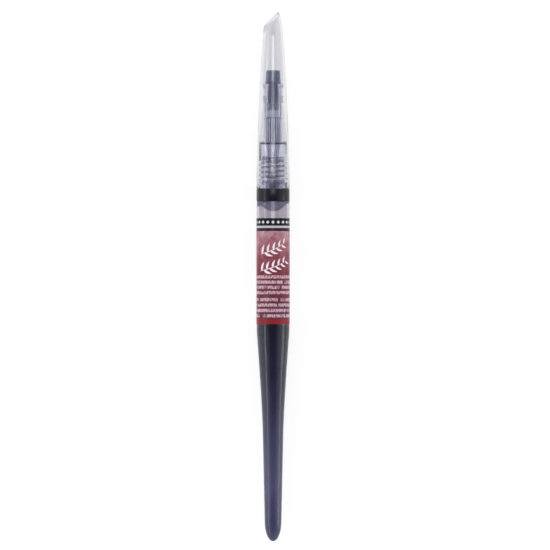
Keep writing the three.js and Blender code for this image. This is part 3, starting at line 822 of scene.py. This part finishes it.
def spacer():
    radius = reach("spacer_ring")
    body = spun([
        (RING_LOW, radius, 0.16),
        (RING_HIGH, radius, 0.16),
        (RING_HIGH, SKIRT_BORE + 0.02, 0.1),
        (RING_LOW, SKIRT_BORE + 0.02, 0.1),
    ], closed=True)
    black = moulded_plastic(
        "spacer_plastic", srgb(9, 8, 20), srgb(16, 14, 28), 0.18, IOR=1.5, Specular_IOR_Level=0.3,
    )
    return fitted(mesh_object("spacer", body), "spacer", "spacer_plastic", black, "spacer_ring")


SKIRT_LOW, SKIRT_HIGH = span("head_skirt")
SKIRT_RADIUS = 5.35
SKIRT_TOP_RADIUS = 5.05
SKIRT_RIDGE_HEIGHT = 0.3
SKIRT_RIDGE_RISE = 1.0
SKIRT_RIDGE_DROP = 0.8
SEAM_DEPTH = 0.4  # how far the joint under the nozzle's flange stands open


def skirt():
    body = spun([
        (SKIRT_LOW, SKIRT_RADIUS, 0.15),
        (SKIRT_HIGH - SEAM_DEPTH, SKIRT_TOP_RADIUS, 0.06),
        (SKIRT_HIGH - SEAM_DEPTH, SKIRT_BORE, 0.05),
        (SKIRT_LOW, SKIRT_BORE, 0.2),
    ], closed=True)
    start = SHOULDER + NECK_RISE
    lowest = (SKIRT_LOW + SKIRT_RIDGE_RISE - start) / THREAD_PITCH
    first = start + (math.ceil(lowest - 0.5) + 0.5) * THREAD_PITCH
    ridge = thread_ridge(
        SKIRT_BORE, first, NECK_TOP - SKIRT_RIDGE_DROP, height=-SKIRT_RIDGE_HEIGHT, foot=0.75, crest=0.3,
    )
    whole = united(mesh_object("skirt", body), mesh_object("ridge", ridge))
    return fitted(whole, "brush_head", "clear_plastic", CLEAR_THIN, "head_skirt")


NOZZLE_LOW, MOUTH = span("nozzle")
NOZZLE_RADIUS = 3.3
NOZZLE_BORE = 2.75
NOZZLE_FLANGE = 0.5
NOZZLE_WIDE = 9.0
TIP_RADIUS = 2.6
TIP_BORE = 2.25


def nozzle():
    step = NOZZLE_LOW + NOZZLE_WIDE
    body = spun([
        (NOZZLE_LOW, SKIRT_TOP_RADIUS, 0.06),
        (NOZZLE_LOW + NOZZLE_FLANGE, SKIRT_TOP_RADIUS, 0.15),
        (NOZZLE_LOW + NOZZLE_FLANGE, NOZZLE_RADIUS, 0.2),
        (step, NOZZLE_RADIUS, 0.15),
        (step + 0.25, TIP_RADIUS, 0.08),
        (MOUTH, TIP_RADIUS, 0.12),
        (MOUTH, TIP_BORE, 0.1),
        (step + 0.25, TIP_BORE, 0.1),
        (step - 0.2, NOZZLE_BORE, 0.1),
        (NOZZLE_LOW, NOZZLE_BORE, 0.08),
    ], closed=True)
    return fitted(mesh_object("nozzle_tube", body), "brush_head", "clear_plastic", CLEAR_THIN, "nozzle")


GASKET_RADIUS = 4.45
GASKET_BORE = 2.8
GASKET_FILLET = 0.15


def gasket():
    low, high = span("neck_gasket")
    body = spun([
        (low, GASKET_RADIUS, GASKET_FILLET),
        (high, GASKET_RADIUS, GASKET_FILLET),
        (high, GASKET_BORE, GASKET_FILLET),
        (low, GASKET_BORE, GASKET_FILLET),
    ], closed=True)
    rubber = moulded_plastic("gasket_rubber", srgb(34, 35, 52), srgb(58, 60, 82), 0.6, 0.02)
    return fitted(mesh_object("gasket_ring", body), "gasket", "gasket_rubber", rubber, "neck_gasket")


def seam_ink():
    """Ink that has crept in between the skirt and the nozzle's flange."""
    low = SKIRT_HIGH - SEAM_DEPTH - WET
    high = NOZZLE_LOW + WET
    outside = SKIRT_TOP_RADIUS - 0.03
    body = spun([
        (low, outside), (high, outside), (high, SKIRT_BORE - 0.12), (low, SKIRT_BORE - 0.05),
    ], closed=True)
    film = ink_stain("ink_line", srgb(38, 36, 66), srgb(60, 58, 92), 0.0)
    return fitted(mesh_object("ink_seam", body), "brush_head", "ink", film)


FLUTES = 20
FLUTE_WIDTH = 0.42
FLUTE_DEPTH = 0.6
FLUTE_RISE = 0.9  # from the collar's underside to the flutes' foot
FEED_POINT_RADIUS = 0.75
FEED_POINT_LENGTH = 2.4
FEED_STEM_RADIUS = 2.0
FEED_CONE_LENGTH = 3.9
FEED_BORE = 0.5


def in_flute(vert, count, width):
    """True where a point lies in one of the evenly spaced slots round the axis."""
    angle = math.atan2(vert.co.y, vert.co.z - AXIS)
    radius = math.hypot(vert.co.y, vert.co.z - AXIS)
    pitch = 2 * math.pi / count
    away = abs((angle + pitch / 2) % pitch - pitch / 2)
    return away * radius < width * MM / 2


def pressed_in(vert, depth):
    """Moves a point towards the axis."""
    away = Vector((vert.co.y, vert.co.z - AXIS))
    away *= (away.length - depth * MM) / away.length
    vert.co.y, vert.co.z = away.x, AXIS + away.y


def feed():
    low, high = span("feed_core")
    radius = reach("feed_core")
    wetted = NOZZLE_BORE + WET
    collar = span("neck_gasket")[0]
    flute_base = collar + FLUTE_RISE
    bm = spun([
        (low, FEED_POINT_RADIUS, 0.1),
        (low + FEED_POINT_LENGTH, FEED_STEM_RADIUS, 0.3),
        (collar - FEED_CONE_LENGTH, FEED_STEM_RADIUS, 0.5),
        (collar, radius, 0.2),
        (flute_base - 0.02, radius),
        (flute_base + 0.02, wetted),
        (high - 0.3, wetted),
        (high, radius - 0.2),
        (high, FEED_BORE, 0.1),
        (low, FEED_BORE, 0.05),
    ], closed=True, steps=FINE_STEPS)
    for vert in bm.verts:
        outside = math.hypot(vert.co.y, vert.co.z - AXIS) > (radius - 0.3) * FLAT * MM
        if outside and vert.co.x > flute_base * MM and in_flute(vert, FLUTES, FLUTE_WIDTH):
            pressed_in(vert, FLUTE_DEPTH)
    bmesh.ops.recalc_face_normals(bm, faces=bm.faces)
    return fitted(mesh_object("feed_comb", bm), "brush_head", "feed_plastic", inked_plastic(), "feed_core")


def flute_ink():
    """Ink standing in the feed's flutes."""
    low = span("neck_gasket")[0] + FLUTE_RISE + 0.15
    high = span("feed_core")[1] - 0.1
    outer = (NOZZLE_BORE - 0.1) * FLAT
    inner = (NOZZLE_BORE + WET - FLUTE_DEPTH - 0.02) * FLAT
    width = FLUTE_WIDTH * 0.8
    bm = bmesh.new()
    for i in range(FLUTES):
        made = bmesh.ops.create_cube(bm, size=1)["verts"]
        bmesh.ops.scale(bm, vec=((high - low) * MM, width * MM, (outer - inner) * MM), verts=made)
        bmesh.ops.translate(bm, vec=((low + high) / 2 * MM, 0, (outer + inner) / 2 * MM), verts=made)
        bmesh.ops.rotate(bm, matrix=Matrix.Rotation(i * 2 * math.pi / FLUTES, 3, "X"), verts=made)
    bmesh.ops.bevel(
        bm, geom=bm.edges[:], offset=0.1 * MM, segments=2, profile=0.5, affect="EDGES", material=-1,
    )
    bmesh.ops.translate(bm, vec=(0, 0, AXIS), verts=bm.verts)
    film = ink_stain("flute_ink", srgb(92, 97, 150), srgb(132, 137, 190), 0.0)
    return fitted(mesh_object("flute_ink_bars", bm), "brush_head", "ink", film)


WICK_RINGS = 14
WICK_STEPS = 96
WICK_CHAMFER = 0.1
WICK_FUZZ = 0.07  # how far its surface dips between fibres


def wick():
    low, high = span("flow_wick")
    radius = reach("flow_wick")
    end_radius = radius - WICK_CHAMFER
    dice = random.Random(11)
    stations = [low + (high - low) * i / WICK_RINGS for i in range(1, WICK_RINGS)]
    side = [(x, radius) for x in stations]
    bm = spun([(low, 0), (low, end_radius), *side, (high, end_radius), (high, 0)], steps=WICK_STEPS)
    for vert in bm.verts:
        if math.hypot(vert.co.y, vert.co.z - AXIS) > radius * 0.9 * MM:
            pressed_in(vert, dice.uniform(0.0, WICK_FUZZ))
    return fitted(mesh_object("wick", bm), "brush_head", "wick_fibre", wick_fibre(), "flow_wick")


FERRULE_WALL = 0.3
FERRULE_NOTCHES = 8
FERRULE_NOTCH_WIDTH = 0.62
FERRULE_NOTCH_DEPTH = 1.7


def ferrule():
    low, high = span("tuft_ferrule")
    radius = reach("tuft_ferrule")
    bm = spun([
        (low, radius, 0.08),
        (high - 0.05, radius),
        (high, radius - 0.05),
        (high, radius - FERRULE_WALL),
        (low, radius - FERRULE_WALL),
    ], closed=True, steps=FINE_STEPS)
    for vert in bm.verts:
        if vert.co.x < (low + 0.2) * MM and in_flute(vert, FERRULE_NOTCHES, FERRULE_NOTCH_WIDTH):
            vert.co.x += FERRULE_NOTCH_DEPTH * MM
    bmesh.ops.recalc_face_normals(bm, faces=bm.faces)
    dark = moulded_plastic("ferrule_plastic", srgb(84, 90, 128), srgb(116, 122, 160), 0.38)
    return fitted(mesh_object("ferrule", bm), "brush_head", "ferrule_plastic", dark, "tuft_ferrule")


def tuft_root():
    """The pale resin that binds the bristles inside the ferrule."""
    low, high = span("tuft_ferrule")
    radius = reach("tuft_ferrule") - FERRULE_WALL - 0.02
    crown = high + 0.15
    body = spun([
        (low, 0), (low, radius, 0.1), (high - 0.1, radius, 0.3), (crown, radius - 0.5, 0.2), (crown, 0),
    ])
    resin = moulded_plastic("root_resin", srgb(232, 236, 248), srgb(250, 251, 254), 0.45)
    return fitted(mesh_object("tuft_binding", body), "brush_head", "bristle_fibre", resin)


BRISTLES = 620
BRISTLE_RADIUS = 0.045
BRISTLE_POINTS = 9
BRISTLE_TAPER = 0.72
GOLDEN_ANGLE = math.pi * (3 - math.sqrt(5))
TUFT_ROOT_RADIUS = 1.8
TUFT_SWELL = 0.14
TUFT_POINT_RADIUS = 0.06
TUFT_STRAIGHT = 0.25  # share of its length before it starts to close


def tuft_radius(share):
    """The tuft's outer radius, from its root at 0 to its point at 1."""
    swell = TUFT_SWELL * math.sin(math.pi * min(1, share * 1.3))
    closing = max(0, (share - TUFT_STRAIGHT) / (1 - TUFT_STRAIGHT)) ** 3
    return (TUFT_ROOT_RADIUS + swell) * (1 - closing) + TUFT_POINT_RADIUS


def tuft():
    """Bristles that start side by side in the ferrule and close to a point."""
    low, high = span("bristle_tuft")
    dice = random.Random(5)
    bundle = bpy.data.curves.new("bristles", "CURVE")
    bundle.dimensions = "3D"
    bundle.bevel_depth = BRISTLE_RADIUS * MM
    bundle.bevel_resolution = 0
    bundle.use_fill_caps = True
    for i in range(BRISTLES):
        place = math.sqrt((i + 0.5) / BRISTLES)
        angle = i * GOLDEN_ANGLE
        reach_of_it = 1 - 0.5 * place ** 2.2 * dice.uniform(0.25, 1.0) - dice.uniform(0, 0.03)
        twist = dice.uniform(-0.15, 0.15)
        strand = bundle.splines.new("POLY")
        strand.points.add(BRISTLE_POINTS - 1)
        for k, point in enumerate(strand.points):
            share = k / (BRISTLE_POINTS - 1) * reach_of_it
            radius = place * tuft_radius(share) * (1 + 0.02 * dice.uniform(-1, 1) * share)
            turn = angle + twist * share
            x = low + (high - low) * share
            point.co = (
                x * MM, radius * math.sin(turn) * MM, AXIS + radius * math.cos(turn) * MM, 1,
            )
            point.radius = 1 - BRISTLE_TAPER * (share / reach_of_it) ** 2
    strands = bpy.data.objects.new("bristles", bundle)
    bpy.context.scene.collection.objects.link(strands)
    bpy.context.view_layer.update()
    whole = strands.evaluated_get(bpy.context.evaluated_depsgraph_get())
    mesh = bpy.data.meshes.new_from_object(whole)
    bpy.data.objects.remove(strands)
    bm = bmesh.new()
    bm.from_mesh(mesh)
    bpy.data.meshes.remove(mesh)
    bmesh.ops.remove_doubles(bm, verts=bm.verts, dist=MERGE_DISTANCE)
    bmesh.ops.recalc_face_normals(bm, faces=bm.faces)
    made = mesh_object("tuft_bristles", bm)
    return fitted(made, "brush_head", "bristle_fibre", bristle_fibre(), "bristle_tuft")


# ---------------------------------------------------------------- cap

CAP_LOW, CAP_TIP = span("cap_shell")
CAP_RIM_RADIUS = reach("cap_shell")
CAP_WALL = 0.55
CAP_SEAT_TAPER = 0.3
CAP_SOCKET_RADIUS = 3.75
CAP_TIP_WALL = 0.9
CAP_END_WALL = 1.2
CAP_CURVE = {"reach": 27.2, "drop": 0.39}
CAP_NOSE_LENGTH = 9
CAP_NOSE_RADIUS = 3.72
CAP_NOSE_PULL = {"radius": 3.0, "drop": 1.05}
CAP_TIP_RADIUS = 1.9
SLANT_EDGE = 0.3
INNER_LOW, INNER_HIGH = span("inner_cap")
SEAL_LOW, SEAL_HIGH = span("tip_seal")
FLANGE_TOP = SEAL_LOW - FIT_GAP
BEAD_LOW = MOUTH + 0.4


def arch(start, pull, end, steps):
    """Points of a curve with one corner to pull it."""
    start, pull, end = map(Vector, (start, pull, end))
    shares = [i / steps for i in range(steps + 1)]
    return [tuple(start.lerp(pull, t).lerp(pull.lerp(end, t), t)) for t in shares]


def cap_outside():
    nose = CAP_TIP - CAP_NOSE_LENGTH
    side = arch(
        (CAP_LOW, CAP_RIM_RADIUS), (CAP_LOW + CAP_CURVE["reach"], CAP_RIM_RADIUS - CAP_CURVE["drop"]),
        (nose, CAP_NOSE_RADIUS), 40,
    )
    end = arch(
        (nose, CAP_NOSE_RADIUS), (CAP_TIP - CAP_NOSE_PULL["drop"], CAP_NOSE_PULL["radius"]),
        (CAP_TIP, CAP_TIP_RADIUS), 20,
    )
    return [*side, *end[1:]]


def slanted(bm, station):
    """Cuts a shell off at 45 degrees through a station on the axis, and closes it."""
    normal = Vector((1, 1, 0)).normalized()
    cut = bmesh.ops.bisect_plane(
        bm, geom=bm.verts[:] + bm.edges[:] + bm.faces[:], plane_co=(station * MM, 0, AXIS),
        plane_no=normal, clear_outer=True,
    )
    rim = [item for item in cut["geom_cut"] if isinstance(item, bmesh.types.BMEdge)]
    return bmesh.ops.contextual_create(bm, geom=rim)["faces"]


def cap():
    outside = cap_outside()
    lip = (CAP_LOW, CAP_RIM_RADIUS - CAP_WALL / 2)
    shell = spun([lip, (CAP_LOW, CAP_RIM_RADIUS, 0.12), *outside[1:], (CAP_TIP, 0)])
    end = slanted(shell, CAP_TIP - SLANT_DROP)
    bmesh.ops.bevel(
        shell, geom=list({edge for face in end for edge in face.edges}), offset=SLANT_EDGE * MM,
        segments=4, profile=0.5, affect="EDGES", material=-1, clamp_overlap=True,
    )
    inside = spun([
        lip,
        (CAP_LOW, CAP_RIM_RADIUS - CAP_WALL, 0.12),
        (NOZZLE_LOW + NOZZLE_FLANGE + 0.1, CAP_RIM_RADIUS - CAP_WALL - CAP_SEAT_TAPER, 0.4),
        (BEAD_LOW - 0.1, CAP_SOCKET_RADIUS, 0.3),
        *[(x, min(r - CAP_TIP_WALL, CAP_SOCKET_RADIUS)) for x, r in outside if x > FLANGE_TOP + 0.1],
        (CAP_TIP, 0),
    ])
    slanted(inside, CAP_TIP - SLANT_DROP - CAP_END_WALL * math.sqrt(2))
    add(shell, inside)
    bmesh.ops.remove_doubles(shell, verts=shell.verts, dist=MERGE_DISTANCE)
    bmesh.ops.recalc_face_normals(shell, faces=shell.faces)
    return fitted(mesh_object("cap", shell), "cap", "clear_plastic", CLEAR, "cap_shell")


def add(bm, other):
    """Moves the other bmesh's shape into the first."""
    mesh = bpy.data.meshes.new("part")
    other.to_mesh(mesh)
    other.free()
    bm.from_mesh(mesh)
    bpy.data.meshes.remove(mesh)


BEADS = 3
BEAD_PITCH = 0.9
BEAD_WIDTH = 0.45
INNER_RADIUS = 3.05
INNER_GAP = 0.1  # round the nozzle's tip and above its mouth
FLANGE_RADIUS = 3.7  # of the inner cap's flange and beads
FLANGE_THICKNESS = 1.25
SPIGOT_RADIUS = 2.25
SPIGOT_BORE = 2.05


def inner_cap():
    """A sleeve over the tuft, held in the cap by three beads and a flange, with a spigot on its end."""
    beads = []
    for i in range(BEADS):
        low = BEAD_LOW + i * BEAD_PITCH
        high = low + BEAD_WIDTH
        beads += [(low, INNER_RADIUS, 0.06), (low, FLANGE_RADIUS, 0.14)]
        beads += [(high, FLANGE_RADIUS, 0.14), (high, INNER_RADIUS, 0.06)]
    body = spun([
        (INNER_LOW, INNER_RADIUS, 0.12),
        *beads,
        (FLANGE_TOP - FLANGE_THICKNESS, INNER_RADIUS, 0.1),
        (FLANGE_TOP - FLANGE_THICKNESS, FLANGE_RADIUS, 0.12),
        (FLANGE_TOP, FLANGE_RADIUS, 0.2),
        (FLANGE_TOP, SPIGOT_RADIUS, 0.08),
        (INNER_HIGH, SPIGOT_RADIUS, 0.08),
        (INNER_HIGH, SPIGOT_BORE, 0.06),
        (MOUTH + INNER_GAP, SPIGOT_BORE, 0.1),
        (MOUTH + INNER_GAP, TIP_RADIUS + INNER_GAP, 0.1),
        (INNER_LOW, TIP_RADIUS + INNER_GAP, 0.12),
    ], closed=True)
    return fitted(mesh_object("inner_sleeve", body), "cap", "clear_plastic", sleeve_plastic(), "inner_cap")


SEAL_BORE = 2.3
SEAL_TOP = 1.1  # thickness of its closed end
SEAL_LIP_HEIGHT = 0.4
SEAL_DRAFT = {"step": 0.14, "taper": 0.34, "crown": 0.8}  # how much slimmer than the lip
SEAL_DIMPLE = {"radius": 0.8, "floor": 0.55, "depth": 0.18}


def tip_seal():
    """A cup on the inner cap's spigot, with a lip, a tapered side and a dimple in its end."""
    low, high = SEAL_LOW, SEAL_HIGH
    lip = reach("tip_seal")
    dimple_floor = high - SEAL_DIMPLE["depth"]
    body = spun([
        (high - SEAL_TOP, 0),
        (high - SEAL_TOP, SEAL_BORE - 0.2, 0.3),
        (INNER_HIGH + FIT_GAP, SEAL_BORE),
        (low, SEAL_BORE, 0.08),
        (low, lip, 0.12),
        (low + SEAL_LIP_HEIGHT, lip, 0.15),
        (low + SEAL_LIP_HEIGHT + 0.45, lip - SEAL_DRAFT["step"], 0.2),
        (high - 0.1, lip - SEAL_DRAFT["taper"], 0.4),
        (high, lip - SEAL_DRAFT["crown"], 0.2),
        (high, SEAL_DIMPLE["radius"], 0.1),
        (dimple_floor, SEAL_DIMPLE["floor"], 0.1),
        (dimple_floor, 0),
    ])
    dark = moulded_plastic("seal_plastic", srgb(64, 73, 110), srgb(94, 105, 146), 0.2, IOR=1.5)
    return fitted(mesh_object("seal_cup", body), "cap", "tip_seal_plastic", dark, "tip_seal")


# ---------------------------------------------------------------- stage

CAMERA_HEIGHT = 1.4
SENSOR = 36.0
FRAME_WIDTH = 0.1974  # of the table that the camera sees
EYE_PLACE = (0.0006, -0.0007)


def camera():
    data = bpy.data.cameras.new("camera")
    data.sensor_width = SENSOR
    data.lens = SENSOR * (CAMERA_HEIGHT - AXIS) / FRAME_WIDTH
    eye = bpy.data.objects.new("camera", data)
    eye.location = (*EYE_PLACE, CAMERA_HEIGHT)
    eye.rotation_euler = (0, 0, -math.pi / 2)
    bpy.context.scene.collection.objects.link(eye)
    bpy.context.scene.camera = eye


def floor():
    bm = bmesh.new()
    bmesh.ops.create_grid(bm, x_segments=8, y_segments=8, size=2.5)
    made = mesh_object("floor", bm)
    made.data.materials.append(floor_panel())


def softbox(name, place, size, radiance):
    """A rectangular lamp that faces the middle of the table."""
    data = bpy.data.lights.new(name, "AREA")
    data.shape = "RECTANGLE"
    data.size, data.size_y = size
    data.energy = radiance * math.pi * size[0] * size[1]
    lamp = bpy.data.objects.new(name, data)
    lamp.location = place
    lamp.rotation_euler = Vector(place).to_track_quat("Z", "X").to_euler()
    bpy.context.scene.collection.objects.link(lamp)


# how bright the surround is, by the cosine of the angle from straight up
SURROUND = ((0.0, 1.3), (0.5, 1.25), (0.78, 0.75), (0.94, 0.2))
SURROUND_TINT = (0.93, 0.94, 1.0)


def daylight():
    """A pale surround, dimmer overhead than at the sides."""
    world = bpy.data.worlds.new("surround")
    world.use_nodes = True
    tree = world.node_tree
    place = tree.nodes.new("ShaderNodeTexCoord").outputs["Generated"]
    split = tree.nodes.new("ShaderNodeSeparateXYZ")
    ramp = tree.nodes.new("ShaderNodeValToRGB")
    tree.links.new(place, split.inputs[0])
    tree.links.new(split.outputs[2], ramp.inputs[0])
    tree.links.new(ramp.outputs[0], tree.nodes["Background"].inputs["Color"])
    brightest = max(level for _, level in SURROUND)
    while len(ramp.color_ramp.elements) < len(SURROUND):
        ramp.color_ramp.elements.new(1.0)
    for element, (cosine, level) in zip(ramp.color_ramp.elements, SURROUND):
        element.position = cosine
        element.color = tuple(tint * level / brightest for tint in SURROUND_TINT) + (1,)
    tree.nodes["Background"].inputs["Strength"].default_value = brightest
    bpy.context.scene.world = world


# name, place, size and radiance
SOFTBOXES = (
    ("cap_strip", (0.215, 0.02, 1.0), (0.2, 0.42), 3.0),
    ("cap_fill", (0.215, 0, 1.02), (0.25, 0.95), 1.0),
    ("left_box", (-0.14, 0.85, 0.5), (0.16, 0.9), 2.2),
    ("right_box", (-0.14, -0.95, 0.2), (0.3, 0.35), 1.6),
)


def stage():
    floor()
    daylight()
    for lamp in SOFTBOXES:
        softbox(*lamp)
    scene = bpy.context.scene
    scene.view_settings.view_transform = "Standard"
    scene.cycles.max_bounces = 24
    scene.cycles.transmission_bounces = 24
    scene.cycles.transparent_max_bounces = 16


# ---------------------------------------------------------------- the pen

camera()
stage()
for make in (
    barrel, ink, roof_ink, thread_ink, stopper, label, brushwork, label_seam, spacer, skirt, gasket, seam_ink,
    nozzle, feed, flute_ink, wick, ferrule, tuft_root, tuft, cap, inner_cap, tip_seal,
):
    make()
